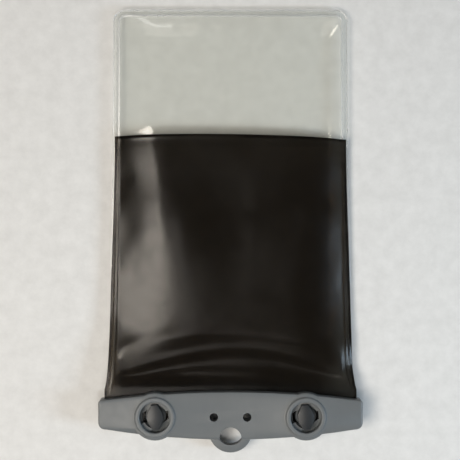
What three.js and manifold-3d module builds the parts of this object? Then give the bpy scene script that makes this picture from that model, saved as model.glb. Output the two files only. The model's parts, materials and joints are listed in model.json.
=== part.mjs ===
// A waterproof phone pouch, lying on its front with its back up.
// Three plastic films are welded round three sides. The mouth of the pouch is held between the two
// jaws of a clip, and two half-turn levers with cam lugs pull the jaws together.
// Millimetres, +Z up, +Y from the clip to the far end of the pouch.

import * as THREE from 'three';
import { mergeVertices } from 'three/addons/utils/BufferGeometryUtils.js';
import Module from 'manifold-3d';

const wasm = await Module();
wasm.setup();

// Driving dimensions. While the parts are made, y = 0 is the line through the two lever axes.

// Films
const filmThickness = 0.5;
const filmGap = 0.1; // between films that are welded or pressed together
const pouchTop = 217.6; // lever axes to the far edge of the pouch
const pouchHalfWidth = 63; // at the far end
const sideTaper = 2.6; // how much that grows down to the clip
const flareLength = 6; // how far from the clip its last widening reaches
const cornerRadius = 6.5;
const weldWidth = 3.2;
const weldHeight = 4.2; // side welds above the surface that the pouch lies on
const backHeight = 10.6; // back film above that surface, over the pocket
const sideSlope = 24; // width of the slope from a weld up to the flat back
const topSlope = 20;
const bellySlope = 14; // width of the slope from a weld down to the flat front
const mouthSlope = 30; // length over which the films part, from the clip's edge
const panelTop = 148.4; // lever axes to the ends of the dark panel's upper edge
const panelBow = 1.6; // rise of that edge in the middle
const panelSkew = 1.8; // fall of that edge from left to right
const lapWidth = 5; // overlap of the dark panel on the clear window

// Clip
const clipLength = 140;
const jawRise = 13.5; // lever axes to the jaw's edge at the pouch, in the middle
const jawRiseAtEnd = 9;
const jawDrop = 11.9; // lever axes to the jaw's free edge, in the middle
const jawDropAtEnd = 6.5;
const jawCorner = 4;
const jawPouchCorner = 2;
const frontJawThickness = 5.15;
const rearJawThickness = 5.15;
const jawBevel = 1.2;
const facetLine = 5.9; // lever axes to the sloping facets at the rear jaw's ends
const facetSlope = 0.35;
const mouthEndRoom = 2.8; // from the jaw's end to the films' side
const mouthMargin = 3; // from the jaw's free edge to the film's end
const slotClearance = 0.4; // round the films' ends and holes

// Levers, cam lugs and their seats
const leverInset = 30.1; // from the clip's end to the lever's axis
const leverThickness = 3.3;
const leverGap = 0.3;
const wingReach = 14;
const wingEndRadius = 4;
const hubRadius = 6;
const leverBevel = 0.8;
const shaftRadius = 3.5;
const shaftClearance = 0.4;
const collarWall = 1.3; // collars that hold the films by their holes
const tenonSide = 4.2;
const tenonClearance = 0.15;
const lugReach = 6.6;
const lugEndHalfWidth = 1.7;
const lugHalfWidth = 4.2;
const lugSideHalfLength = 2;
const lugThickness = 2.8;
const lugSkin = 0.8; // over the end of the tenon
const lugBevel = 0.35;
const lugClearance = 0.35; // round a lug in its slot
const closedAngle = 95; // degrees, of the lug's long axis
const turnAngle = 90;
const camRise = 2; // how far the jaws part over that turn
const camGap = 0.3;
const recessRadius = 8.1;
const recessFloor = 1;
const rampHeight = 1.5; // ramp above the recess floor, under the closed lug
const stopInnerRadius = 6.3;
const stopFlank = 22; // degrees from a lug's axis to the stop it meets
const stopHeight = 2.6;
const bossWall = 2.5;
const bossHeight = 1.5;
const bossEdge = 0.7;
const skirtWidth = 1.6; // the boss's sloping foot
const padRadius = 12.6; // the jaws' round widening at each lever
const padOffset = 0.4;

// Cord holes and loop
const cordHoleSpacing = 17.6;
const cordHoleRadius = 2.25;
const cordCollarWall = 0.9;
const loopRadius = 7.5;
const loopWall = 4.1;
const loopDrop = 8.3; // lever axes to the loop's centre
const loopCollarWall = 1.5;
const notchRadius = 5.8; // the rear jaw's notch over the loop
const notchDrop = 11.1;

// Seal
const sealWidth = 2.4;
const sealDepth = 1.6;
const sealInset = 3.9; // from the jaw's pouch edge to the seal's centre line
const sealShort = 0.6; // from the films' side to the seal's end
const sealClearance = 0.1;

// Heights, stacked up from the surface
const frontJawOuter = leverThickness + leverGap;
const frontJawInner = frontJawOuter + frontJawThickness;
const frontFilmMouth = frontJawInner + filmGap + filmThickness / 2;
const parting = frontFilmMouth + filmThickness / 2 + filmGap / 2;
const rearFilmMouth = parting + filmGap / 2 + filmThickness / 2;
const rearJawInner = rearFilmMouth + filmThickness / 2 + filmGap;
const rearJawOuter = rearJawInner + rearJawThickness;
const frontRim = rearJawInner - filmGap;
const recessBase = rearJawInner + recessFloor;
const rampClosed = recessBase + rampHeight;
const lugUnderside = rampClosed + camGap;
const lugTop = lugUnderside + lugThickness;
const bossTop = rearJawOuter + bossHeight;

const mouthHalfWidth = clipLength / 2 - mouthEndRoom;
const mouthFlare = mouthHalfWidth - pouchHalfWidth - sideTaper;
const leverSpacing = clipLength - 2 * leverInset;
const grooveFloor = frontJawInner - sealDepth - sealClearance;
const panelReach = panelTop + panelBow + panelSkew / 2;
const camSlope = camRise / turnAngle;
const shaftBore = shaftRadius + shaftClearance;
const lugTip = Math.hypot(lugReach, lugEndHalfWidth);
const lugSideAngle = THREE.MathUtils.radToDeg(Math.atan2(lugHalfWidth, lugSideHalfLength));
const filmStart = jawRise + 0.4; // where the films start to part
const loopOuter = loopRadius + loopWall;
const lapStart = panelTop - lapWidth;
const centring = -(pouchTop - loopDrop - loopOuter) / 2;
const leverPlaces = { left: -leverSpacing / 2, right: leverSpacing / 2 };
const cordPlaces = [-cordHoleSpacing / 2, cordHoleSpacing / 2];

const filmClear = { color: 0xdfe0d8, roughness: 0.12, metalness: 0, transparent: true, opacity: 0.3 };
const filmDark = { color: 0x2a2520, roughness: 0.18, metalness: 0, transparent: true, opacity: 0.88 };
const jawGrey = { color: 0x74797a, roughness: 0.55, metalness: 0 };
const leverGrey = { color: 0x3a3d40, roughness: 0.45, metalness: 0 };
const sealBlack = { color: 0x1d1d1e, roughness: 0.8, metalness: 0 };

// Solids and shapes

function solidFrom(geometry) {
  const bare = geometry.clone();
  bare.deleteAttribute('normal');
  bare.deleteAttribute('uv');
  const merged = mergeVertices(bare, 1e-5);
  const vertProperties = new Float32Array(merged.attributes.position.array);
  const triVerts = new Uint32Array(merged.index.array);
  return new wasm.Manifold(new wasm.Mesh({ numProp: 3, vertProperties, triVerts }));
}

function meshFrom(solid, name, look) {
  const { vertProperties, triVerts } = solid.getMesh();
  const geometry = new THREE.BufferGeometry();
  geometry.setAttribute('position', new THREE.BufferAttribute(vertProperties, 3));
  geometry.setIndex(new THREE.BufferAttribute(triVerts, 1));
  geometry.computeVertexNormals();
  const mesh = new THREE.Mesh(geometry, new THREE.MeshStandardMaterial(look));
  mesh.name = name;
  return mesh;
}

// Bends a unit block: place(u, v, w) gives the point for block coordinates from -0.5 to 0.5.
function bentBlock(columns, rows, place) {
  const block = new THREE.BoxGeometry(1, 1, 1, columns, rows, 1);
  const position = block.attributes.position;
  for (let i = 0; i < position.count; i += 1) {
    position.setXYZ(i, ...place(position.getX(i), position.getY(i), position.getZ(i)));
  }
  return solidFrom(block);
}

function prism(shape, from, to, curveSegments = 12) {
  const depth = to - from;
  const geometry = new THREE.ExtrudeGeometry(shape, { depth, bevelEnabled: false, curveSegments });
  return solidFrom(geometry.translate(0, 0, from));
}

// A prism with rounded edges round both ends. Its widest outline is the shape itself.
function roundedPrism(shape, from, to, bevel, curveSegments = 12) {
  const geometry = new THREE.ExtrudeGeometry(shape, {
    depth: to - from - 2 * bevel,
    bevelThickness: bevel,
    bevelSize: bevel,
    bevelOffset: -bevel,
    bevelSegments: 2,
    curveSegments,
  });
  return solidFrom(geometry.translate(0, 0, from + bevel));
}

function disc(x, y, radius, from, to, segments = 32) {
  const geometry = new THREE.CylinderGeometry(radius, radius, to - from, segments);
  geometry.rotateX(Math.PI / 2);
  return solidFrom(geometry.translate(x, y, (from + to) / 2));
}

function outlineShape(points) {
  return new THREE.Shape(points.map(([x, y]) => new THREE.Vector2(x, y)));
}

const join = (solids) => solids.reduce((whole, solid) => whole.add(solid));
const cut = (solid, tools) => tools.reduce((rest, tool) => rest.subtract(tool), solid);

// The pouch's films

const clamp = (value) => THREE.MathUtils.clamp(value, 0, 1);
const lerp = THREE.MathUtils.lerp;
const smooth = (from, to, value) => THREE.MathUtils.smoothstep(value, from, to);
const swell = (distance, run) => 1 - (1 - clamp(distance / run)) ** 2;

function halfWidthAt(y) {
  const past = Math.max(y - filmStart, 0);
  const taper = sideTaper * (1 - past / (pouchTop - filmStart)) ** 2;
  return pouchHalfWidth + taper + mouthFlare * Math.exp(-past / flareLength);
}

const weldAt = (y) => lerp(parting, weldHeight, smooth(filmStart, filmStart + 1.5 * mouthSlope, y));

// How far a film has left the welds: 0 on them, 1 on the flat.
function awayFromWelds(x, y, sideRun, topRun) {
  const fromSide = halfWidthAt(y) - weldWidth - Math.abs(x);
  const fromTop = pouchTop - weldWidth - y;
  return swell(fromSide, sideRun) * swell(fromTop, topRun);
}

function frontHeight(x, y) {
  const weld = weldAt(y) - filmGap / 2 - filmThickness / 2;
  const level = lerp(frontFilmMouth, filmThickness / 2, smooth(filmStart, filmStart + mouthSlope, y));
  return lerp(weld, level, awayFromWelds(x, y, bellySlope, bellySlope));
}

function rearHeight(x, y) {
  const weld = weldAt(y) + filmGap / 2 + filmThickness / 2;
  const level = lerp(rearFilmMouth, backHeight, smooth(filmStart, filmStart + mouthSlope, y));
  return lerp(weld, level, awayFromWelds(x, y, sideSlope, topSlope));
}

// The panel steps up over the window's edge where they overlap.
function panelHeight(x, y) {
  return rearHeight(x, y) + (filmThickness + filmGap) * smooth(lapStart - 5, lapStart - 1, y);
}

const halfColumns = 9;

// Columns crowd towards the welds, and the last one is the weld's own width.
function columnAt(index, y) {
  const steps = Math.abs(index);
  if (steps === halfColumns) return Math.sign(index) * halfWidthAt(y);
  const share = Math.sin((Math.PI / 2) * (steps / (halfColumns - 1)));
  return Math.sign(index) * share * (halfWidthAt(y) - weldWidth);
}

function spread(from, to, steps) {
  return Array.from({ length: steps }, (_, i) => lerp(from, to, (i + 1) / steps));
}

function filmSheet(rows, heightAt) {
  return bentBlock(2 * halfColumns, rows.length - 1, (u, v, w) => {
    const y = rows[Math.round((v + 0.5) * (rows.length - 1))];
    const x = columnAt(Math.round((u + 0.5) * 2 * halfColumns) - halfColumns, y);
    return [x, y, heightAt(x, y) + w * filmThickness];
  });
}

const mouthRows = [-jawDrop, filmStart, ...spread(filmStart, filmStart + 1.5 * mouthSlope, 8)];
const panelRows = [
  ...mouthRows,
  ...spread(filmStart + 1.5 * mouthSlope, lapStart - 5, 4),
  ...spread(lapStart - 5, lapStart, 3),
];
const lapRows = spread(lapStart, panelReach, 1);
const windowRows = [
  ...spread(panelReach, pouchTop - weldWidth - topSlope, 2),
  ...spread(pouchTop - weldWidth - topSlope, pouchTop - weldWidth, 6),
  pouchTop,
];

// The films' end between the jaws, with their holes. grow widens the outline and narrows the holes.
function mouthOutline(grow) {
  const end = mouthHalfWidth + grow;
  const shape = new THREE.Shape();
  shape.moveTo(-end, pouchTop);
  shape.lineTo(-end, -jawEdge(end, jawDrop, jawDropAtEnd) + mouthMargin - grow);
  shape.quadraticCurveTo(0, -2 * jawDrop + jawEdge(end, jawDrop, jawDropAtEnd) + mouthMargin - grow,
    end, -jawEdge(end, jawDrop, jawDropAtEnd) + mouthMargin - grow);
  shape.lineTo(end, pouchTop);
  return shape;
}

// Half-height of the jaw's outline at a distance along the clip: a parabola from the middle to the ends.
function jawEdge(x, middle, atEnd) {
  return middle - (middle - atEnd) * (x / (clipLength / 2)) ** 2;
}

const filmHoles = [
  ...Object.values(leverPlaces).map((x) => [x, 0, shaftBore + collarWall + slotClearance]),
  ...cordPlaces.map((x) => [x, 0, cordHoleRadius + cordCollarWall + slotClearance]),
  [0, -loopDrop, loopRadius + loopCollarWall + slotClearance],
];

function punched(film, base, top) {
  const trimmed = film.intersect(prism(mouthOutline(0), base, top));
  return cut(trimmed, filmHoles.map(([x, y, radius]) => disc(x, y, radius, base, top, 32)));
}

const everyHeight = [-10, 40];

// A sheet's top corners are rounded by this outline, which is wider than the sheet elsewhere.
function roundedTop() {
  const half = halfWidthAt(pouchTop);
  const shape = new THREE.Shape();
  shape.moveTo(-2 * half, -2 * jawDrop);
  shape.lineTo(2 * half, -2 * jawDrop);
  shape.lineTo(2 * half, pouchTop - 2 * cornerRadius);
  shape.lineTo(half, pouchTop - 2 * cornerRadius);
  shape.lineTo(half, pouchTop - cornerRadius);
  shape.absarc(half - cornerRadius, pouchTop - cornerRadius, cornerRadius, 0, Math.PI / 2);
  shape.absarc(cornerRadius - half, pouchTop - cornerRadius, cornerRadius, Math.PI / 2, Math.PI);
  shape.lineTo(-half, pouchTop - 2 * cornerRadius);
  shape.lineTo(-2 * half, pouchTop - 2 * cornerRadius);
  return prism(shape, ...everyHeight, 8);
}

function belowPanelEdge() {
  const shape = new THREE.Shape();
  shape.moveTo(-2 * pouchHalfWidth, -2 * jawDrop);
  shape.lineTo(2 * pouchHalfWidth, -2 * jawDrop);
  shape.lineTo(2 * pouchHalfWidth, panelTop - panelSkew);
  shape.lineTo(pouchHalfWidth, panelTop - panelSkew / 2);
  shape.quadraticCurveTo(0, panelTop + 2 * panelBow, -pouchHalfWidth, panelTop + panelSkew / 2);
  shape.lineTo(-2 * pouchHalfWidth, panelTop + panelSkew);
  return prism(shape, ...everyHeight, 14);
}

function makeFrontFilm() {
  const sheet = filmSheet([...panelRows, ...lapRows, ...windowRows], frontHeight);
  return punched(sheet.intersect(roundedTop()), ...everyHeight);
}

function makeRearPanel() {
  const sheet = filmSheet([...panelRows, ...lapRows], panelHeight);
  return punched(sheet.intersect(belowPanelEdge()), ...everyHeight);
}

function makeRearWindow() {
  return filmSheet([lapStart, ...lapRows, ...windowRows], rearHeight).intersect(roundedTop());
}

// The clip's jaws

function jawOutline() {
  const half = clipLength / 2;
  const shape = new THREE.Shape();
  shape.moveTo(-half + jawCorner, -jawDropAtEnd - 0.1);
  shape.quadraticCurveTo(0, -2 * jawDrop + jawDropAtEnd, half - jawCorner, -jawDropAtEnd - 0.1);
  shape.quadraticCurveTo(half, -jawDropAtEnd, half, -jawDropAtEnd + jawCorner);
  shape.lineTo(half, jawRiseAtEnd - jawPouchCorner);
  shape.quadraticCurveTo(half, jawRiseAtEnd, half - jawPouchCorner, jawRiseAtEnd);
  shape.quadraticCurveTo(0, 2 * jawRise - jawRiseAtEnd, -half + jawPouchCorner, jawRiseAtEnd);
  shape.quadraticCurveTo(-half, jawRiseAtEnd, -half, jawRiseAtEnd - jawPouchCorner);
  shape.lineTo(-half, -jawDropAtEnd + jawCorner);
  shape.quadraticCurveTo(-half, -jawDropAtEnd, -half + jawCorner, -jawDropAtEnd - 0.1);
  return shape;
}

function circleShape(x, y, radius) {
  return new THREE.Shape().absarc(x, y, radius, 0, 2 * Math.PI);
}

// A shape's prism with rounded edges round one end only. The other end is cut square.
function squareBacked(shape, flatFace, roundFace, segments) {
  const up = Math.sign(roundFace - flatFace);
  const waste = flatFace - up * 2 * jawBevel;
  const blankEnds = [Math.min(roundFace, waste), Math.max(roundFace, waste)];
  const blank = roundedPrism(shape, ...blankEnds, jawBevel, segments);
  const far = 2 * clipLength;
  const square = outlineShape([[-far, -far], [far, -far], [far, far], [-far, far]]);
  return blank.intersect(prism(square, Math.min(roundFace, flatFace), Math.max(roundFace, flatFace)));
}

const jawBar = (flatFace, roundFace) => squareBacked(jawOutline(), flatFace, roundFace, 12);

// The jaws' round widening at a lever
function leverPad(x, flatFace, roundFace) {
  return squareBacked(circleShape(x, padOffset, padRadius), flatFace, roundFace, 20);
}

function sealPath() {
  const end = mouthHalfWidth - sealShort;
  const rise = jawEdge(end, jawRise, jawRiseAtEnd) - sealInset;
  const start = new THREE.Vector3(-end, rise, 0);
  const middle = new THREE.Vector3(0, 2 * (jawRise - sealInset) - rise, 0);
  return new THREE.QuadraticBezierCurve3(start, middle, new THREE.Vector3(end, rise, 0));
}

// A bar of rectangular section that follows the seal's line, trimmed to the film's width.
function sealBar(width, from, to) {
  const path = sealPath();
  const steps = 24;
  return bentBlock(steps, 1, (u, v, w) => {
    const point = path.getPoint(u + 0.5);
    const along = path.getTangent(u + 0.5);
    return [point.x - v * width * along.y, point.y + v * width * along.x, lerp(from, to, w + 0.5)];
  });
}

function makeSealStrip() {
  return sealBar(sealWidth, frontJawInner - sealDepth, frontJawInner);
}

function makeFrontJaw() {
  const above = frontRim + 1;
  const below = frontJawOuter - 1;
  const levers = Object.values(leverPlaces);
  const slot = prism(mouthOutline(slotClearance), frontJawInner, above);
  const collar = (x, y, radius) => disc(x, y, radius, frontJawOuter + jawBevel, frontRim);
  const outside = join([
    jawBar(frontRim, frontJawOuter),
    ...levers.map((x) => leverPad(x, frontRim, frontJawOuter)),
    roundedPrism(circleShape(0, -loopDrop, loopOuter), frontJawOuter, frontRim, jawBevel, 24),
  ]);
  const body = join([
    outside.subtract(slot),
    collar(0, -loopDrop, loopRadius + loopCollarWall),
    ...levers.map((x) => collar(x, 0, shaftBore + collarWall)),
    ...cordPlaces.map((x) => collar(x, 0, cordHoleRadius + cordCollarWall)),
  ]);
  return cut(body, [
    sealBar(sealWidth + 2 * sealClearance, grooveFloor, frontJawInner + filmGap),
    disc(0, -loopDrop, loopRadius, below, above),
    ...levers.map((x) => disc(x, 0, shaftBore, below, above)),
    ...cordPlaces.map((x) => disc(x, 0, cordHoleRadius, below, above, 24)),
  ]);
}

// A ring sector whose upper face may climb with the angle. Angles are in degrees.
function sector(x, inner, outer, fromAngle, toAngle, base, topAt) {
  const steps = Math.ceil((toAngle - fromAngle) / 7);
  return bentBlock(1, steps, (u, v, w) => {
    const angle = lerp(fromAngle, toAngle, v + 0.5);
    const radius = lerp(inner, outer, u + 0.5);
    const turn = THREE.MathUtils.degToRad(angle);
    return [x + radius * Math.cos(turn), radius * Math.sin(turn), w < 0 ? base : topAt(angle)];
  });
}

function lugShape(x, grow, angle) {
  const corners = [
    [lugReach, lugEndHalfWidth],
    [lugSideHalfLength, lugHalfWidth],
    [-lugSideHalfLength, lugHalfWidth],
    [-lugReach, lugEndHalfWidth],
    [-lugReach, -lugEndHalfWidth],
    [-lugSideHalfLength, -lugHalfWidth],
    [lugSideHalfLength, -lugHalfWidth],
    [lugReach, -lugEndHalfWidth],
  ];
  const turn = THREE.MathUtils.degToRad(angle);
  const points = corners.map(([along, across]) => {
    const a = along + Math.sign(along) * grow;
    const b = across + Math.sign(across) * grow;
    return [x + a * Math.cos(turn) - b * Math.sin(turn), a * Math.sin(turn) + b * Math.cos(turn)];
  });
  return outlineShape(points);
}

// The raised ring round a recess, with rounded edges.
function bossRing(x) {
  const outer = recessRadius + bossWall;
  const base = recessBase - recessFloor / 2;
  const profile = new THREE.Path();
  profile.moveTo(recessRadius, base);
  profile.lineTo(outer, base);
  profile.lineTo(outer + skirtWidth, rearJawOuter - jawBevel);
  profile.lineTo(outer + skirtWidth, rearJawOuter);
  profile.quadraticCurveTo(outer, rearJawOuter + bossHeight / 6, outer, bossTop - bossEdge);
  profile.absarc(outer - bossEdge, bossTop - bossEdge, bossEdge, 0, Math.PI / 2);
  profile.lineTo(recessRadius + bossEdge, bossTop);
  profile.absarc(recessRadius + bossEdge, bossTop - bossEdge, bossEdge, Math.PI / 2, Math.PI);
  profile.lineTo(recessRadius, base);
  const geometry = new THREE.LatheGeometry(profile.getPoints(2), 40);
  return solidFrom(geometry.rotateX(Math.PI / 2).translate(x, 0, 0));
}

// The two ramps that the lugs ride on, and the stops between them.
function camRing(x) {
  const base = recessBase - recessFloor / 2;
  const stopFrom = closedAngle + turnAngle + stopFlank - 180;
  const stopTo = closedAngle - stopFlank;
  const rampEnd = closedAngle + turnAngle - stopFlank - 8;
  const wallOverlap = 0.3;
  return [0, 180].flatMap((half) => [
    sector(x, shaftBore, recessRadius + wallOverlap, stopTo + half, rampEnd + half, base,
      (angle) => rampClosed - camSlope * (angle - half - closedAngle)),
    sector(x, stopInnerRadius, recessRadius + wallOverlap, stopFrom + half, stopTo + half, base,
      () => recessBase + stopHeight),
  ]);
}

// What the sloping facet takes off the rear jaw between one of its ends and the lever beside it.
function endFacet(x) {
  const end = Math.sign(x) * (clipLength / 2 + 1);
  return bentBlock(1, 1, (u, v, w) => {
    const out = 0.5 - v;
    const low = rearJawOuter - out * facetSlope * jawDrop;
    const along = lerp(Math.min(x, end), Math.max(x, end), u + 0.5);
    return [along, -facetLine - out * jawDrop, w < 0 ? low : bossTop];
  });
}

function makeRearJaw() {
  const above = bossTop + 1;
  const below = rearJawInner - 1;
  const levers = Object.values(leverPlaces);
  const bar = cut(jawBar(rearJawInner, rearJawOuter), levers.map(endFacet));
  const blank = join([bar, ...levers.map((x) => leverPad(x, rearJawInner, rearJawOuter))]);
  const wells = levers.map((x) => disc(x, 0, recessRadius + bossWall / 2, recessBase, above, 40));
  const plate = cut(blank, wells);
  const body = join([plate, ...levers.map(bossRing), ...levers.flatMap(camRing)]);
  return cut(body, [
    ...levers.map((x) => disc(x, 0, shaftBore, below, above)),
    ...levers.map((x) => prism(lugShape(x, lugClearance, closedAngle + turnAngle), below, above)),
    ...cordPlaces.map((x) => disc(x, 0, cordHoleRadius, below, above, 24)),
    disc(0, -notchDrop, notchRadius, below, above, 40),
  ]);
}

// The levers and their lugs. Each is made on its own axis and then set in place.

function wingShape() {
  const shape = new THREE.Shape();
  const tipCentre = wingReach - wingEndRadius;
  shape.absarc(tipCentre, 0, wingEndRadius, -Math.PI / 2, Math.PI / 2);
  shape.quadraticCurveTo(hubRadius, wingEndRadius, 0.6 * hubRadius, 0.8 * hubRadius);
  shape.absarc(0, 0, hubRadius, Math.atan2(0.8, 0.6), Math.PI - Math.atan2(0.8, 0.6));
  shape.quadraticCurveTo(-hubRadius, wingEndRadius, -tipCentre, wingEndRadius);
  shape.absarc(-tipCentre, 0, wingEndRadius, Math.PI / 2, 1.5 * Math.PI);
  shape.quadraticCurveTo(-hubRadius, -wingEndRadius, -0.6 * hubRadius, -0.8 * hubRadius);
  shape.absarc(0, 0, hubRadius, Math.PI + Math.atan2(0.8, 0.6), 2 * Math.PI - Math.atan2(0.8, 0.6));
  shape.quadraticCurveTo(hubRadius, -wingEndRadius, tipCentre, -wingEndRadius);
  return shape;
}

function squareShape(side) {
  const half = side / 2;
  return outlineShape([[-half, -half], [half, -half], [half, half], [-half, half]]);
}

function makeLever() {
  const shoulder = lugUnderside - camSlope * lugSideAngle - tenonClearance;
  return join([
    roundedPrism(wingShape(), 0, leverThickness, leverBevel, 6),
    disc(0, 0, shaftRadius, leverThickness / 2, shoulder, 24),
    prism(squareShape(tenonSide), shoulder - 1, lugTop - lugSkin - tenonClearance),
  ]);
}

// The lug's underside has the ramps' slope. Its hub reaches down to the lever's shoulder.
function makeLug() {
  const lowest = lugUnderside - camSlope * lugSideAngle;
  const blank = roundedPrism(lugShape(0, 0, closedAngle), lowest - 1, lugTop, lugBevel);
  const hubEdge = shaftRadius - 0.3;
  const undercuts = [closedAngle, closedAngle + 180].map((middle) => {
    const underside = (angle) => Math.max(lugUnderside - camSlope * (angle - middle), lowest);
    return sector(0, hubEdge, recessRadius, middle - 90, middle + 90, lowest - 2, underside);
  });
  const below = disc(0, 0, recessRadius, lowest - 2, lowest);
  const socket = prism(squareShape(tenonSide + 2 * tenonClearance), lowest - 1, lugTop - lugSkin);
  return cut(blank, [...undercuts, below, socket]);
}

// The assembly

const pouch = new THREE.Group();
pouch.add(
  meshFrom(makeFrontFilm(), 'front_film', filmClear),
  meshFrom(makeRearWindow(), 'rear_window', filmClear),
  meshFrom(makeRearPanel(), 'rear_panel', filmDark),
);

const clip = new THREE.Group();
clip.add(
  meshFrom(makeFrontJaw(), 'front_jaw', jawGrey),
  meshFrom(makeRearJaw(), 'rear_jaw', jawGrey),
  meshFrom(makeSealStrip(), 'seal_strip', sealBlack),
);
for (const [side, x] of Object.entries(leverPlaces)) {
  const lever = new THREE.Group();
  lever.add(
    meshFrom(makeLever(), `${side}_lever`, leverGrey),
    meshFrom(makeLug(), `${side}_cam_lug`, leverGrey),
  );
  lever.position.x = x;
  clip.add(lever);
}

const model = new THREE.Group();
model.add(pouch, clip);
model.position.y = centring;

export default model;
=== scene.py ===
"""A waterproof phone pouch that lies on its front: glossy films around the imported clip.

Lengths are in metres, in the frame's axes. Along the pouch, places are given as s, the distance
from the line through the clip's two lever axes towards the pouch's far end.
"""

import json
import math

import bpy
import numpy as np
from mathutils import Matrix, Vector


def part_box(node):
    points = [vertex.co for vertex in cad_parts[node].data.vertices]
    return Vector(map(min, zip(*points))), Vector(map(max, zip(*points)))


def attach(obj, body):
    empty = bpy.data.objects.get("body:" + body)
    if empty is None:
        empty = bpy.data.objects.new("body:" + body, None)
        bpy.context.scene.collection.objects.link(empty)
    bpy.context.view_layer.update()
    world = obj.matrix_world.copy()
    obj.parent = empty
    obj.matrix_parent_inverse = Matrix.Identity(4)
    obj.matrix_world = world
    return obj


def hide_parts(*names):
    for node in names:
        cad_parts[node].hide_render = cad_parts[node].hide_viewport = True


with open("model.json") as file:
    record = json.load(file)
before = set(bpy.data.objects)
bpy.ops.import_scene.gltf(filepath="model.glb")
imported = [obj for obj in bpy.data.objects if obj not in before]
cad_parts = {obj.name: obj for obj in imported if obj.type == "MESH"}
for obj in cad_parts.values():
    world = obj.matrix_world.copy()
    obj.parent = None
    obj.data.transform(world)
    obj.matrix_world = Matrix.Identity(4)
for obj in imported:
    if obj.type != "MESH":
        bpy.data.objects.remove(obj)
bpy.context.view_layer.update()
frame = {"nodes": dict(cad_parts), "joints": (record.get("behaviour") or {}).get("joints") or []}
scene = bpy.context.scene
MM = 0.001

# Where the frame says that things are
lever_joints = [j for j in frame["joints"] if j["type"] == "hinge"]
LEVER_X = abs(lever_joints[0]["pos_m"][0])
AXIS_Y = lever_joints[0]["pos_m"][1]
film_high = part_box("front_film")[1]
TOP = film_high.y - AXIS_Y
MOUTH_HALF = film_high.x
CLIP_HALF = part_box("rear_jaw")[1].x

# The films' thickness, and the room between two that lie on each other
FILM = 0.5 * MM
FILM_GAP = 0.1 * MM

# The pouch's outline: half its width at the far end, and how that grows down to the clip
FAR_HALF = 63 * MM
SIDE_TAPER = 2.6 * MM
MOUTH_FLARE = MOUTH_HALF - FAR_HALF - SIDE_TAPER
FLARE_LENGTH = 6 * MM
CORNER = 6.5 * MM
FILM_START = 13.9 * MM
WELD = 3.2 * MM

# Heights of the welds and the back, and how far from the welds and the clip the films slope
WELD_HEIGHT = 4.2 * MM
BACK_HEIGHT = 10.6 * MM
SIDE_SLOPE = 24 * MM
TOP_SLOPE = 20 * MM
BELLY_SLOPE = 14 * MM
MOUTH_SLOPE = 30 * MM
WELD_RUN = 1.5 * MOUTH_SLOPE
FREE_FROM_WELD = 6 * MM
FREE_FROM_CLIP = 8 * MM

# The dark panel: where it ends, how that edge bows and leans, its rim, and its lap on the window
PANEL_TOP = 148.4 * MM
PANEL_BOW = 1.6 * MM
PANEL_SKEW = 1.8 * MM
PANEL_BORDER = 1.3 * MM
PANEL_INSET = 1.2 * MM
PANEL_INSET_START = 50 * MM
LAP = 5 * MM
LAP_START = PANEL_TOP - LAP
LAP_RAMP = 28 * MM

# Lines that stand up from the films: a weld's inner side and its rolled outer edge, the panel's
# rim, and the mark that the weld leaves in the panel
WELD_LINE_HEIGHT = 0.34 * MM
WELD_LINE_WIDTH = 0.55 * MM
ROLL_HEIGHT = 0.22 * MM
ROLL_WIDTH = 0.4 * MM
ROLL_PLACE = 0.5 * MM
PANEL_RIM_HEIGHT = 0.2 * MM
PANEL_RIM_WIDTH = 0.45 * MM
WELD_MARK_HEIGHT = 0.3 * MM
WELD_MARK_WIDTH = 0.6 * MM

# The arched valley between the pocket and the clip, narrower and shallower towards the sides
ARCH = 12 * MM
VALLEY_PLACE = 17 * MM
VALLEY_DEPTH = 3 * MM
VALLEY_WIDTH = 11 * MM
VALLEY_WIDTH_AT_SIDES = 6.5 * MM
VALLEY_SHARE_AT_SIDES = 0.55

# Its creases: how far along the arch each lies, its width and height, and the way that it wanders
CREASES = [
    (22.5 * MM, 3 * MM, 0.75 * MM, 1),
    (12 * MM, 2.2 * MM, 0.35 * MM, -1),
    (33 * MM, 3.5 * MM, 0.3 * MM, -1),
]

# Forms that lie at one place along the pouch, each with that place and its reach to both sides.
# The back is slacker on the left and by the clip on the right, and stands higher in its left half.
LEFT_SAG = 43 * MM
LEFT_SAG_PLACE = 55 * MM
LEFT_SAG_REACH = 60 * MM
RIGHT_SLACK = 30 * MM
RIGHT_SLACK_PLACE = 66 * MM
RIGHT_SLACK_REACH = 24 * MM
LEFT_CROWN = 1.8 * MM
LEFT_CROWN_PLACE = 103 * MM
LEFT_CROWN_REACH = 26 * MM
WINDOW_FOLD = 0.35 * MM
WINDOW_FOLD_PLACE = 155 * MM
WINDOW_FOLD_REACH = 3.2 * MM

# The right edge just past the clip hangs down: how steeply, and where across the pouch that starts
DROOP_SLOPE = 0.49
DROOP_START = 57 * MM
DROOP_BEND = 3.3 * MM
DROOP_PLACE = 25 * MM
DROOP_REACH = 11 * MM

# Small unevenness of the films: slow waves, and puckers along the welds
WAVE_HEIGHT = 0.25 * MM
SHORTEST_WAVE = 50 * MM
WAVE_STEP = 9 * MM
PUCKER_HEIGHT = 0.2 * MM
FRONT_PUCKER_HEIGHT = 0.12 * MM
TOP_PUCKER_SPACING = 19 * MM
TOP_PUCKER_REACH = 10 * MM
SIDE_PUCKER_SPACING = 27 * MM
SIDE_PUCKER_REACH = 9 * MM

# Heights of the films' middles in the clip
FRONT_MOUTH = film_high.z - FILM / 2
REAR_MOUTH = FRONT_MOUTH + FILM + FILM_GAP
PARTING = (FRONT_MOUTH + REAR_MOUTH) / 2

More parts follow.
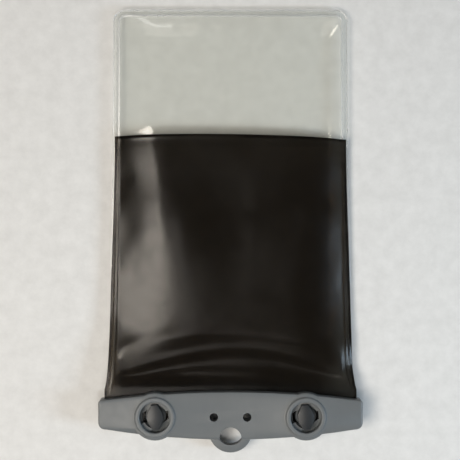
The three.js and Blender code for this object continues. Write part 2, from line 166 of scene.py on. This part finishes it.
# The clip's outline and its holes through the films
JAW_DROP = 11.9 * MM
JAW_DROP_AT_END = 6.5 * MM
MOUTH_MARGIN = 3 * MM
LEVER_HOLE = 5.6 * MM
CORD_HOLE_X = 8.8 * MM
CORD_HOLE = 3.55 * MM
LOOP_DROP = 8.3 * MM
LOOP_HOLE = 9.4 * MM


# Shapes of the films

def smoothstep(low, high, value):
    t = np.clip((value - low) / (high - low), 0, 1)
    return t * t * (3 - 2 * t)


def swell(distance, run):
    return 1 - (1 - np.clip(distance / run, 0, 1)) ** 2


def mix(a, b, t):
    return a + (b - a) * t


def bell(value, width):
    return np.exp(-((value / width) ** 2))


def side_at(s):
    """Half the pouch's width, without its rounded corners."""
    past = np.maximum(s - FILM_START, 0)
    taper = SIDE_TAPER * (1 - past / (TOP - FILM_START)) ** 2
    return FAR_HALF + taper + MOUTH_FLARE * np.exp(-past / FLARE_LENGTH)


def outline_at(s):
    """Half the pouch's width, with its rounded corners."""
    into = np.clip(s - (TOP - CORNER), 0, CORNER)
    return side_at(s) - CORNER + np.sqrt(CORNER**2 - into**2)


def edge_distance(x, s):
    """How far a point lies inside the pouch's outline."""
    side = side_at(s) - np.abs(x)
    top = TOP - s
    in_corner = (side < CORNER) & (top < CORNER)
    corner = CORNER - np.hypot(CORNER - side, CORNER - top)
    return np.where(in_corner, corner, np.minimum(side, top))


def weld_level(s):
    return mix(PARTING, WELD_HEIGHT, smoothstep(FILM_START, FILM_START + WELD_RUN, s))


def away_from_welds(x, s, side_run, top_run):
    return swell(side_at(s) - WELD - np.abs(x), side_run) * swell(TOP - WELD - s, top_run)


def film_level(x, s, mouth, middle, side_run, top_run, side):
    """Height of a film's middle: mouth in the clip, middle over the pocket, and the weld's own at
    the welds. side is 1 for the back's films and -1 for the front's."""
    weld = weld_level(s) + side * (FILM_GAP + FILM) / 2
    level = mix(mouth, middle, smoothstep(FILM_START, FILM_START + MOUTH_SLOPE, s))
    return mix(weld, level, away_from_welds(x, s, side_run, top_run))


def slow_waves(x, s, seed):
    """A gentle unevenness, from -1 to 1, in waves that run five ways and differ in length."""
    total = np.zeros_like(x)
    for i in range(5):
        angle = 1.9 * i + seed
        length = SHORTEST_WAVE + WAVE_STEP * i
        run = x * math.cos(angle) + s * math.sin(angle)
        total += np.sin(2 * math.pi * run / length + 2.3 * i + seed)
    return total / 5


def puckers(x, s, seed):
    """Short ripples that start at the welds and die away into the film."""
    side = side_at(s) - WELD - np.abs(x)
    top = TOP - WELD - s
    top_drift = seed + 3 * np.sin(x / (31 * MM))
    side_drift = seed * np.sign(x) + 2 * np.sin(s / (47 * MM))
    along_top = np.sin(2 * math.pi * x / TOP_PUCKER_SPACING + top_drift)
    along_side = np.sin(2 * math.pi * s / SIDE_PUCKER_SPACING + side_drift)
    ripple = along_top * np.exp(-np.maximum(top, 0) / TOP_PUCKER_REACH)
    ripple += along_side * np.exp(-np.maximum(side, 0) / SIDE_PUCKER_REACH)
    reach = np.hypot(np.maximum(side, 0), np.maximum(top, 0))
    turn = np.arctan2(top, side)
    return ripple + 1.6 * np.sin(7 * turn + seed) * bell(reach - 8 * MM, 7 * MM)


def mouth_valley(x, s):
    """The film sinks between the pocket and the clip, along an arch."""
    middle = np.clip(1 - (x / FAR_HALF) ** 2, 0, 1)
    place = s - ARCH * middle - VALLEY_PLACE
    width = mix(VALLEY_WIDTH_AT_SIDES, VALLEY_WIDTH, middle)
    return mix(VALLEY_SHARE_AT_SIDES, 1, middle) * bell(place, width)


def mouth_folds(x, s):
    """Arched creases on the way down into that valley."""
    arched = s - ARCH * (1 - (x / FAR_HALF) ** 2)
    wander = 1.2 * MM * np.sin(x / (17 * MM) + 0.8)
    return sum(height * bell(arched - place - way * wander, width)
               for place, width, height, way in CREASES)


def rear_side_run(x, s):
    """How far from a side weld the back is at its full height: farther where it is slack."""
    left = mix(SIDE_SLOPE, LEFT_SAG, bell(s - LEFT_SAG_PLACE, LEFT_SAG_REACH))
    right = mix(SIDE_SLOPE, RIGHT_SLACK, bell(s - RIGHT_SLACK_PLACE, RIGHT_SLACK_REACH))
    return np.where(x < 0, left, right)


def free_film(x, s):
    """0 on the welds and in the clip, 1 in the open film."""
    inside = smoothstep(0, FREE_FROM_WELD, edge_distance(x, s) - WELD)
    return inside * smoothstep(FILM_START, FILM_START + FREE_FROM_CLIP, s)


def right_droop(x, s):
    """How far the pouch's right edge, just past the clip, hangs below the rest of its weld."""
    into = np.maximum(x - DROOP_START, 0)
    bent = np.minimum(into, DROOP_BEND)
    drop = DROOP_SLOPE * (bent**2 / (2 * DROOP_BEND) + into - bent)
    beside_clip = smoothstep(FILM_START, FILM_START + 12 * MM, s)
    return drop * bell(s - DROOP_PLACE, DROOP_REACH) * beside_clip


def window_fold(x, s):
    """A low fold in the window, just past the dark panel on the left."""
    return bell(s - WINDOW_FOLD_PLACE, WINDOW_FOLD_REACH) * smoothstep(-20 * MM, -32 * MM, x)


def left_crown(x, s):
    """The back stands a little higher in the middle of its left half."""
    across = smoothstep(-58 * MM, -36 * MM, x) * smoothstep(8 * MM, -28 * MM, x)
    return LEFT_CROWN * across * bell(s - LEFT_CROWN_PLACE, LEFT_CROWN_REACH)


def rear_level(x, s):
    level = film_level(x, s, REAR_MOUTH, BACK_HEIGHT, rear_side_run(x, s), TOP_SLOPE, 1)
    loose = WAVE_HEIGHT * slow_waves(x, s, 0.4) + PUCKER_HEIGHT * puckers(x, s, 1.1)
    loose += WINDOW_FOLD * window_fold(x, s) + left_crown(x, s)
    loose += mouth_folds(x, s) - VALLEY_DEPTH * mouth_valley(x, s)
    level += free_film(x, s) * loose - right_droop(x, s)
    return np.maximum(level, front_level(x, s) + FILM + FILM_GAP)


def front_level(x, s):
    level = film_level(x, s, FRONT_MOUTH, FILM / 2, BELLY_SLOPE, BELLY_SLOPE, -1)
    side = side_at(s) - WELD - np.abs(x)
    slope = bell(np.minimum(side, TOP - WELD - s) - BELLY_SLOPE / 2, BELLY_SLOPE / 3)
    level += FRONT_PUCKER_HEIGHT * slope * puckers(x, s, 2.7) - right_droop(x, s)
    level -= 0.5 * VALLEY_DEPTH * free_film(x, s) * mouth_valley(x, s)
    return np.maximum(level, FILM / 2)


def panel_level(x, s):
    lifted = smoothstep(LAP_START - LAP_RAMP, LAP_START - 0.5 * MM, s)
    return rear_level(x, s) + (FILM + FILM_GAP) * lifted


def panel_edge(x):
    """Where the dark panel ends, along the pouch."""
    across = x / FAR_HALF
    return PANEL_TOP + PANEL_BOW * (1 - across**2) - PANEL_SKEW / 2 * across


def mouth_edge(x):
    """Where the films end in the clip."""
    return -(JAW_DROP - (JAW_DROP - JAW_DROP_AT_END) * (x / CLIP_HALF) ** 2) + MOUTH_MARGIN


# How far the columns and rows beside an edge lie from it, closest where the weld's beads are
EDGE_STEPS = MM * np.array(
    [0, 0.15, 0.35, 0.6, 0.95, 1.3, 1.8, 2.3, 2.7, 3.0, 3.3, 3.6, 4.0, 4.6, 5.4, 6.5])
INNER_COLUMNS = 64
MOUTH_ROWS = 42
BODY_ROWS = 32
LAP_ROWS = 5
WINDOW_ROWS = 14
SLOPE_ROWS = 14


def panel_half(s):
    """Half the dark panel's width: towards its end it stays short of the pouch's outline."""
    return side_at(s) - PANEL_INSET * smoothstep(PANEL_INSET_START, PANEL_TOP, s)


def columns_at(s, half_at):
    """The x of each column at one place along the pouch, crowded beside the welds."""
    half = half_at(s)
    left = -half + EDGE_STEPS
    middle = np.linspace(left[-1], -left[-1], INNER_COLUMNS + 2)[1:-1]
    return np.concatenate([left, middle, -left[::-1]])


def spread(low, high, count):
    return list(np.linspace(low, high, count + 1))[1:]


def film_grid(low_row, rows, high_row=None, half_at=outline_at):
    """x and s of the grid's points. The first rows run from the curve low_row to rows[0], and the
    last from rows[-1] to the curve high_row."""
    lines = []
    first = columns_at(rows[0], half_at)
    for t in np.linspace(0, 1, 7)[:-1]:
        lines.append((first, mix(low_row(first), rows[0], t)))
    for s in rows:
        xs = columns_at(s, half_at)
        lines.append((xs, np.full_like(xs, s)))
    if high_row is not None:
        last = columns_at(rows[-1], half_at)
        for t in (0.2, 0.4, 0.6, 0.75, 0.85, 0.92, 1.0):
            lines.append((last, mix(rows[-1], high_row(last), t)))
    return np.array([line[0] for line in lines]), np.array([line[1] for line in lines])


def film_object(name, grid, level, upper, lower, pick_material, materials):
    """A closed thin film over a grid. upper and lower give what each side adds to half the film's
    thickness, and pick_material chooses each face's material slot from its place."""
    x, s = grid
    z = level(x, s)
    rows, columns = x.shape
    top_points = np.stack([x, s + AXIS_Y, z + FILM / 2 + upper(x, s)], -1)
    bottom_points = np.stack([x, s + AXIS_Y, z - FILM / 2 - lower(x, s)], -1)
    points = np.concatenate([top_points.reshape(-1, 3), bottom_points.reshape(-1, 3)])
    index = np.arange(rows * columns).reshape(rows, columns)
    a, b, c, d = index[:-1, :-1], index[:-1, 1:], index[1:, 1:], index[1:, :-1]
    top_faces = np.stack([a, b, c, d], -1).reshape(-1, 4)
    bottom_faces = top_faces[:, ::-1] + rows * columns
    rim = np.concatenate([index[0, :], index[1:, -1], index[-1, -2::-1], index[-2:0:-1, 0]])
    after = np.roll(rim, -1)
    rim_faces = np.stack([rim + rows * columns, after + rows * columns, after, rim], -1)
    quads = np.concatenate([top_faces, bottom_faces, rim_faces])
    mesh = bpy.data.meshes.new(name)
    mesh.from_pydata(points.tolist(), [], quads.tolist())
    smooth = np.ones(len(quads), bool)
    smooth[-len(rim_faces):] = False
    mesh.polygons.foreach_set("use_smooth", smooth)
    for material in materials:
        mesh.materials.append(material)
    centres = points[quads].mean(1)
    picked = pick_material(centres[:, 0], centres[:, 1] - AXIS_Y)
    mesh.polygons.foreach_set("material_index", picked.astype(np.int32))
    mesh.update()
    piece = bpy.data.objects.new(name, mesh)
    scene.collection.objects.link(piece)
    return piece


def punch(piece, cutters):
    """Cuts the clip's holes through a film."""
    for cutter in cutters:
        modifier = piece.modifiers.new("holes", "BOOLEAN")
        modifier.operation = "DIFFERENCE"
        modifier.solver = "EXACT"
        modifier.object = cutter
    bpy.context.view_layer.update()
    cut = piece.evaluated_get(bpy.context.evaluated_depsgraph_get())
    result = bpy.data.meshes.new_from_object(cut)
    piece.modifiers.clear()
    old = piece.data
    piece.data = result
    bpy.data.meshes.remove(old)


def hole_cutter(holes):
    """One object of upright cylinders, for holes given as x, s and radius."""
    points, faces = [], []
    sides = 40
    beyond = 3 * MM
    for x, s, radius in holes:
        start = len(points)
        for z in (FRONT_MOUTH - beyond, REAR_MOUTH + beyond):
            for i in range(sides):
                turn = 2 * math.pi * i / sides
                away_x, away_y = radius * math.cos(turn), radius * math.sin(turn)
                points.append((x + away_x, s + AXIS_Y + away_y, z))
        low = [start + i for i in range(sides)]
        high = [start + sides + i for i in range(sides)]
        faces.append(low[::-1])
        faces.append(high)
        for i in range(sides):
            after = (i + 1) % sides
            faces.append((low[i], low[after], high[after], high[i]))
    mesh = bpy.data.meshes.new("hole_cutter")
    mesh.from_pydata(points, [], faces)
    cutter = bpy.data.objects.new("hole_cutter", mesh)
    scene.collection.objects.link(cutter)
    return cutter


# Materials

def new_material(name):
    material = bpy.data.materials.new(name)
    material.use_nodes = True
    tree = material.node_tree
    tree.nodes.clear()
    output = tree.nodes.new("ShaderNodeOutputMaterial")
    shader = tree.nodes.new("ShaderNodeBsdfPrincipled")
    tree.links.new(shader.outputs["BSDF"], output.inputs["Surface"])
    return material, tree, shader, output


def noise(tree, scale, detail=3.0, roughness=0.5, stretch=(1, 1, 1)):
    """Noise in the object's own space. scale is how many bumps fit in a metre."""
    place = tree.nodes.new("ShaderNodeTexCoord")
    mapping = tree.nodes.new("ShaderNodeMapping")
    mapping.inputs["Scale"].default_value = stretch
    texture = tree.nodes.new("ShaderNodeTexNoise")
    texture.inputs["Scale"].default_value = scale
    texture.inputs["Detail"].default_value = detail
    texture.inputs["Roughness"].default_value = roughness
    tree.links.new(place.outputs["Object"], mapping.inputs["Vector"])
    tree.links.new(mapping.outputs["Vector"], texture.inputs["Vector"])
    return texture.outputs["Fac"]


def ramp(tree, value, low, high, at_low, at_high):
    """Maps a value to a number between at_low and at_high."""
    node = tree.nodes.new("ShaderNodeMapRange")
    node.inputs["From Min"].default_value = low
    node.inputs["From Max"].default_value = high
    node.inputs["To Min"].default_value = at_low
    node.inputs["To Max"].default_value = at_high
    tree.links.new(value, node.inputs["Value"])
    return node.outputs["Result"]


def tone(tree, value, dark, light, low=0.3, high=0.7):
    """Maps a value to a colour between dark and light."""
    node = tree.nodes.new("ShaderNodeValToRGB")
    node.color_ramp.elements[0].position = low
    node.color_ramp.elements[0].color = (*dark, 1)
    node.color_ramp.elements[1].position = high
    node.color_ramp.elements[1].color = (*light, 1)
    tree.links.new(value, node.inputs["Fac"])
    return node.outputs["Color"]


def bump(tree, height, distance, normal=None):
    node = tree.nodes.new("ShaderNodeBump")
    node.inputs["Distance"].default_value = distance
    node.inputs["Strength"].default_value = 1.0
    tree.links.new(height, node.inputs["Height"])
    if normal is not None:
        tree.links.new(normal, node.inputs["Normal"])
    return node.outputs["Normal"]


def film_material(name, passes, body, shine, haze, roughness, ripple):
    """Thin glossy film. Each of its faces lets through the colour passes, but for its shine, which
    grows with the angle, and its haze."""
    material, tree, shader, output = new_material(name)
    shader.inputs["Base Color"].default_value = (*body, 1)
    shader.inputs["IOR"].default_value = 4.0
    shader.inputs["Specular IOR Level"].default_value = 1.0
    smudge = noise(tree, scale=45, detail=4, roughness=0.6)
    gloss = ramp(tree, smudge, 0.3, 0.75, roughness * 0.75, roughness * 1.5)
    tree.links.new(gloss, shader.inputs["Roughness"])
    normal = bump(tree, noise(tree, scale=160, detail=2, roughness=0.5), ripple)
    tree.links.new(normal, shader.inputs["Normal"])
    clear = tree.nodes.new("ShaderNodeBsdfTransparent")
    clear.inputs["Color"].default_value = (*passes, 1)
    angle = tree.nodes.new("ShaderNodeLayerWeight")
    angle.inputs["Blend"].default_value = 0.5
    tree.links.new(normal, angle.inputs["Normal"])
    steepness = tree.nodes.new("ShaderNodeMath")
    steepness.operation = "POWER"
    steepness.inputs[1].default_value = 5
    tree.links.new(angle.outputs["Facing"], steepness.inputs[0])
    share = tree.nodes.new("ShaderNodeMath")
    share.operation = "MULTIPLY_ADD"
    share.inputs[1].default_value = 1 - shine - haze
    share.inputs[2].default_value = shine + haze
    tree.links.new(steepness.outputs["Value"], share.inputs[0])
    blend = tree.nodes.new("ShaderNodeMixShader")
    tree.links.new(share.outputs["Value"], blend.inputs["Fac"])
    tree.links.new(clear.outputs["BSDF"], blend.inputs[1])
    tree.links.new(shader.outputs["BSDF"], blend.inputs[2])
    tree.links.new(blend.outputs["Shader"], output.inputs["Surface"])
    return material


def plastic_material(name, dark, light, roughness, grain, grain_height):
    """Moulded plastic with a fine grain and faint flow marks."""
    material, tree, shader, _ = new_material(name)
    flow = noise(tree, scale=38, detail=5, roughness=0.6, stretch=(1, 0.35, 1))
    tree.links.new(tone(tree, flow, dark, light), shader.inputs["Base Color"])
    wear = noise(tree, scale=210, detail=3, roughness=0.6)
    gloss = ramp(tree, wear, 0.3, 0.7, roughness * 0.88, roughness * 1.12)
    tree.links.new(gloss, shader.inputs["Roughness"])
    broad = bump(tree, flow, 0.12 * MM)
    fine = noise(tree, scale=grain, detail=2, roughness=0.7)
    tree.links.new(bump(tree, fine, grain_height, broad), shader.inputs["Normal"])
    return material


WELD_PASSES = (0.993, 0.996, 0.992)
DARK_BODY = (0.012, 0.01, 0.008)

clear_film = film_material("clear_film", passes=(0.99, 0.992, 0.984), body=(0.8, 0.82, 0.8),
                           shine=0.045, haze=0.01, roughness=0.1, ripple=0.04 * MM)
clear_weld = film_material("clear_weld", passes=WELD_PASSES, body=(0.85, 0.87, 0.85),
                           shine=0.02, haze=0.02, roughness=0.14, ripple=0.05 * MM)
# The lines along a weld's two sides are a white haze: a painted highlight for the light that their
# raised beads catch.
weld_line = film_material("weld_line", passes=WELD_PASSES, body=(0.95, 0.96, 0.94),
                          shine=0.045, haze=0.3, roughness=0.3, ripple=0.05 * MM)
dark_film = film_material("dark_film", passes=(0.32, 0.293, 0.257), body=DARK_BODY,
                          shine=0.032, haze=0.0, roughness=0.2, ripple=0.05 * MM)
dark_rim = film_material("dark_rim", passes=(0.2, 0.175, 0.15), body=DARK_BODY,
                         shine=0.02, haze=0.0, roughness=0.2, ripple=0.05 * MM)
clip_plastic = plastic_material("clip_plastic", (0.118, 0.127, 0.13), (0.136, 0.145, 0.148),
                                roughness=0.45, grain=2600, grain_height=0.03 * MM)
lever_plastic = plastic_material("lever_plastic", (0.015, 0.017, 0.019), (0.024, 0.026, 0.028),
                                 roughness=0.42, grain=2600, grain_height=0.03 * MM)
seal_rubber = plastic_material("seal_rubber", (0.02, 0.02, 0.02), (0.03, 0.03, 0.03),
                               roughness=0.7, grain=1800, grain_height=0.04 * MM)


# The films

def outside_clip(s):
    """0 in the clip and 1 past it, where the beads have their full height."""
    return smoothstep(FILM_START - 2 * MM, FILM_START + 6 * MM, s)


def weld_beads(x, s):
    """The raised line along a weld's inner side and the rolled line along its outer edge."""
    d = edge_distance(x, s)
    inner_line = WELD_LINE_HEIGHT * bell(d - WELD, WELD_LINE_WIDTH)
    rolled_line = ROLL_HEIGHT * bell(d - ROLL_PLACE, ROLL_WIDTH)
    return outside_clip(s) * (inner_line + rolled_line)


def no_beads(x, s):
    return np.zeros_like(x)


def rim_distance(x, s):
    """How far a point lies inside the dark panel's own outline."""
    return np.minimum(panel_half(s) - np.abs(x), panel_edge(x) - s)


def panel_beads(x, s):
    """The panel's own rim, and the line that the weld leaves in it."""
    rim_line = PANEL_RIM_HEIGHT * bell(rim_distance(x, s) - PANEL_BORDER, PANEL_RIM_WIDTH)
    weld_mark = WELD_MARK_HEIGHT * bell(edge_distance(x, s) - WELD, WELD_MARK_WIDTH)
    return outside_clip(s) * (rim_line + weld_mark)


def clear_zones(x, s):
    """0 in the open film, 1 on the welds and 2 on the lines that run along a weld's two sides,
    which carry a painted highlight.
    """
    d = edge_distance(x, s)
    line = (d < 0.65 * MM) | (np.abs(d - WELD) < 0.5 * MM)
    return np.where(s < FILM_START, 0, np.where(line, 2, np.where(d < WELD, 1, 0)))


def panel_zones(x, s):
    """0 in the open film, 1 on the panel's rim."""
    return np.where(rim_distance(x, s) < PANEL_BORDER, 1, 0)


def window_start(x):
    """Where the window begins, under the dark panel."""
    return np.full_like(x, LAP_START)


# Places of the grids' rows along the pouch, from the clip to the far end
top_rows = [TOP - d for d in EDGE_STEPS[::-1]]
slope_rows = spread(TOP - WELD - TOP_SLOPE - 4 * MM, top_rows[0], SLOPE_ROWS)[:-1]
mouth_rows = [FILM_START] + spread(FILM_START, FILM_START + WELD_RUN, MOUTH_ROWS)
body_rows = spread(mouth_rows[-1], LAP_START - 6 * MM, BODY_ROWS)
lap_rows = spread(body_rows[-1], LAP_START, LAP_ROWS)
panel_rows = mouth_rows + body_rows + lap_rows
past_lap = LAP_START + 8 * MM
open_rows = [past_lap] + spread(past_lap, slope_rows[0], WINDOW_ROWS)[:-1]
window_rows = open_rows + slope_rows + top_rows

cutters = [
    hole_cutter([(-LEVER_X, 0, LEVER_HOLE), (LEVER_X, 0, LEVER_HOLE),
                 (-CORD_HOLE_X, 0, CORD_HOLE), (CORD_HOLE_X, 0, CORD_HOLE)]),
    hole_cutter([(0, -LOOP_DROP, LOOP_HOLE)]),
]

front_film = film_object(
    "front_film_skin", film_grid(mouth_edge, panel_rows + window_rows), front_level,
    no_beads, weld_beads, clear_zones, [clear_film, clear_weld, weld_line])
punch(front_film, cutters)

rear_window = film_object(
    "rear_window_skin", film_grid(window_start, window_rows), rear_level,
    weld_beads, no_beads, clear_zones, [clear_film, clear_weld, weld_line])

rear_panel = film_object(
    "rear_panel_skin", film_grid(mouth_edge, panel_rows, panel_edge, panel_half), panel_level,
    panel_beads, no_beads, panel_zones, [dark_film, dark_rim])
punch(rear_panel, cutters)
for cutter in cutters:
    bpy.data.objects.remove(cutter)

for skin, node, slot in ((front_film, "front_film", "clear_film"),
                         (rear_window, "rear_window", "clear_film"),
                         (rear_panel, "rear_panel", "tinted_film")):
    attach(skin, "pouch")
    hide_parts(node)


# The clip

def smooth_by_angle(sharp_degrees):
    """Modifier nodes that shade a solid's gentle edges smooth and keep its sharper ones."""
    group = bpy.data.node_groups.new("smooth_by_angle", "GeometryNodeTree")
    group.interface.new_socket("Geometry", in_out="INPUT", socket_type="NodeSocketGeometry")
    group.interface.new_socket("Geometry", in_out="OUTPUT", socket_type="NodeSocketGeometry")
    start = group.nodes.new("NodeGroupInput")
    end = group.nodes.new("NodeGroupOutput")
    join = group.nodes.new("GeometryNodeMergeByDistance")
    join.inputs["Distance"].default_value = 0.002 * MM
    bare = group.nodes.new("GeometryNodeRemoveAttribute")
    bare.inputs["Name"].default_value = "custom_normal"
    faces = group.nodes.new("GeometryNodeSetShadeSmooth")
    angle = group.nodes.new("GeometryNodeInputMeshEdgeAngle")
    gentle = group.nodes.new("FunctionNodeCompare")
    gentle.operation = "LESS_THAN"
    gentle.inputs["B"].default_value = math.radians(sharp_degrees)
    edges = group.nodes.new("GeometryNodeSetShadeSmooth")
    edges.domain = "EDGE"
    group.links.new(start.outputs["Geometry"], join.inputs["Geometry"])
    group.links.new(join.outputs["Geometry"], bare.inputs["Geometry"])
    group.links.new(bare.outputs["Geometry"], faces.inputs["Geometry"])
    group.links.new(faces.outputs["Geometry"], edges.inputs["Geometry"])
    group.links.new(angle.outputs["Unsigned Angle"], gentle.inputs["A"])
    group.links.new(gentle.outputs["Result"], edges.inputs["Shade Smooth"])
    group.links.new(edges.outputs["Geometry"], end.inputs["Geometry"])
    return group


smoothing = smooth_by_angle(sharp_degrees=28)


def dress(node, material):
    piece = frame["nodes"][node]
    piece.data.materials.clear()
    piece.data.materials.append(material)
    piece.modifiers.new("smooth_by_angle", "NODES").node_group = smoothing


for node in ("rear_jaw", "front_jaw"):
    dress(node, clip_plastic)
for node in ("left_lever", "right_lever", "left_cam_lug", "right_cam_lug"):
    dress(node, lever_plastic)
dress("seal_strip", seal_rubber)


# Floor, light and camera

def area_light(name, place, target, width, height, power, colour, in_gloss=True):
    light = bpy.data.lights.new(name, "AREA")
    light.shape = "RECTANGLE"
    light.size, light.size_y = width, height
    light.energy = power
    light.color = colour
    lamp = bpy.data.objects.new(name, light)
    lamp.location = place
    lamp.rotation_euler = (Vector(target) - Vector(place)).to_track_quat("-Z", "Y").to_euler()
    lamp.visible_glossy = in_gloss
    scene.collection.objects.link(lamp)


FLOOR_SIZE = 4
FLOOR_LEVEL = -0.05 * MM
BACKGROUND = (0.58, 0.585, 0.59)
SKY = (0.081, 0.086, 0.09)
PALE_FROM = 0.35
PALE_TO = 1.1

bpy.ops.mesh.primitive_plane_add(size=FLOOR_SIZE, location=(0, 0, FLOOR_LEVEL))
floor = bpy.context.object
floor.name = "floor"
floor_material, floor_tree, floor_shader, floor_output = new_material("floor")
floor_shader.inputs["Roughness"].default_value = 0.8
speckle = noise(floor_tree, scale=130, detail=4, roughness=0.65)
floor_colour = tone(floor_tree, speckle, (0.66, 0.65, 0.63), (0.74, 0.73, 0.71))
floor_tree.links.new(floor_colour, floor_shader.inputs["Base Color"])
floor.data.materials.append(floor_material)

# Away from the pouch the camera sees the floor in a plain pale tone, as it does the background
path = floor_tree.nodes.new("ShaderNodeLightPath")
place = floor_tree.nodes.new("ShaderNodeTexCoord")
distance = floor_tree.nodes.new("ShaderNodeVectorMath")
distance.operation = "LENGTH"
floor_tree.links.new(place.outputs["Object"], distance.inputs[0])
far = floor_tree.nodes.new("ShaderNodeMath")
far.operation = "MULTIPLY"
paleness = ramp(floor_tree, distance.outputs["Value"], PALE_FROM, PALE_TO, 0, 1)
floor_tree.links.new(paleness, far.inputs[0])
floor_tree.links.new(path.outputs["Is Camera Ray"], far.inputs[1])
pale = floor_tree.nodes.new("ShaderNodeEmission")
pale.inputs["Color"].default_value = (*BACKGROUND, 1)
blend = floor_tree.nodes.new("ShaderNodeMixShader")
floor_tree.links.new(far.outputs["Value"], blend.inputs["Fac"])
floor_tree.links.new(floor_shader.outputs["BSDF"], blend.inputs[1])
floor_tree.links.new(pale.outputs["Emission"], blend.inputs[2])
floor_tree.links.new(blend.outputs["Shader"], floor_output.inputs["Surface"])

area_light("window", (-0.53, -0.23, 1.0), (0, -0.02, 0), 0.66, 0.5, 9.4, (1.0, 0.93, 0.84))
area_light("window_edge", (-0.13, -0.23, 1.0), (-0.13, -0.23, 0), 0.16, 0.5, 0.32, (1.0, 0.95, 0.9))
area_light("side_glint", (0.78, -0.2, 0.45), (0, -0.05, 0), 0.2, 0.3, 4, (0.66, 0.83, 1.0))
area_light("fill", (0.02, -0.23, 0.6), (0.02, -0.12, 0), 0.12, 0.12, 0.75, (0.97, 0.99, 1.0),
           in_gloss=False)
area_light("far_glint", (-0.4, 1.0, 0.6), (0, 0.1, 0), 0.5, 0.2, 0.7, (1.0, 1.0, 1.0))

world = bpy.data.worlds.new("world")
world.use_nodes = True
world_tree = world.node_tree
world_shader = world_tree.nodes["Background"]
world_path = world_tree.nodes.new("ShaderNodeLightPath")
direction = world_tree.nodes.new("ShaderNodeTexCoord")
rise = world_tree.nodes.new("ShaderNodeSeparateXYZ")
world_tree.links.new(direction.outputs["Generated"], rise.inputs["Vector"])
# The camera sees a pale background, and so does gloss near the horizon. Overhead the room is dim
low_gloss = world_tree.nodes.new("ShaderNodeMath")
low_gloss.operation = "MULTIPLY_ADD"
near_horizon = ramp(world_tree, rise.outputs["Z"], 0.15, 0.4, 1, 0)
world_tree.links.new(near_horizon, low_gloss.inputs[0])
world_tree.links.new(world_path.outputs["Is Glossy Ray"], low_gloss.inputs[1])
world_tree.links.new(world_path.outputs["Is Camera Ray"], low_gloss.inputs[2])
surround = world_tree.nodes.new("ShaderNodeMix")
surround.data_type = "RGBA"
surround.inputs["A"].default_value = (*SKY, 1)
surround.inputs["B"].default_value = (*BACKGROUND, 1)
world_tree.links.new(low_gloss.outputs["Value"], surround.inputs["Factor"])
world_tree.links.new(surround.outputs["Result"], world_shader.inputs["Color"])
scene.world = world
scene.view_settings.view_transform = "Standard"
# Where the panel laps the window, a ray meets six faces of film above the floor, and six more on
# its way to a lamp
scene.cycles.transparent_max_bounces = 32

# The photograph looks straight down. At the height of the clip's back it spans VIEW_WIDTH.
CAMERA_ABOVE_CLIP = 0.55
VIEW_WIDTH = 0.2429
CLIP_BACK = 15.2 * MM
CAMERA_X = -0.26 * MM
CAMERA_Y = 0.15 * MM
SENSOR = 36
camera_data = bpy.data.cameras.new("camera")
camera_data.sensor_width = SENSOR
camera_data.lens = SENSOR * CAMERA_ABOVE_CLIP / VIEW_WIDTH
camera = bpy.data.objects.new("camera", camera_data)
camera.location = (CAMERA_X, CAMERA_Y, CLIP_BACK + CAMERA_ABOVE_CLIP)
scene.collection.objects.link(camera)
scene.camera = camera

bpy.context.view_layer.update()
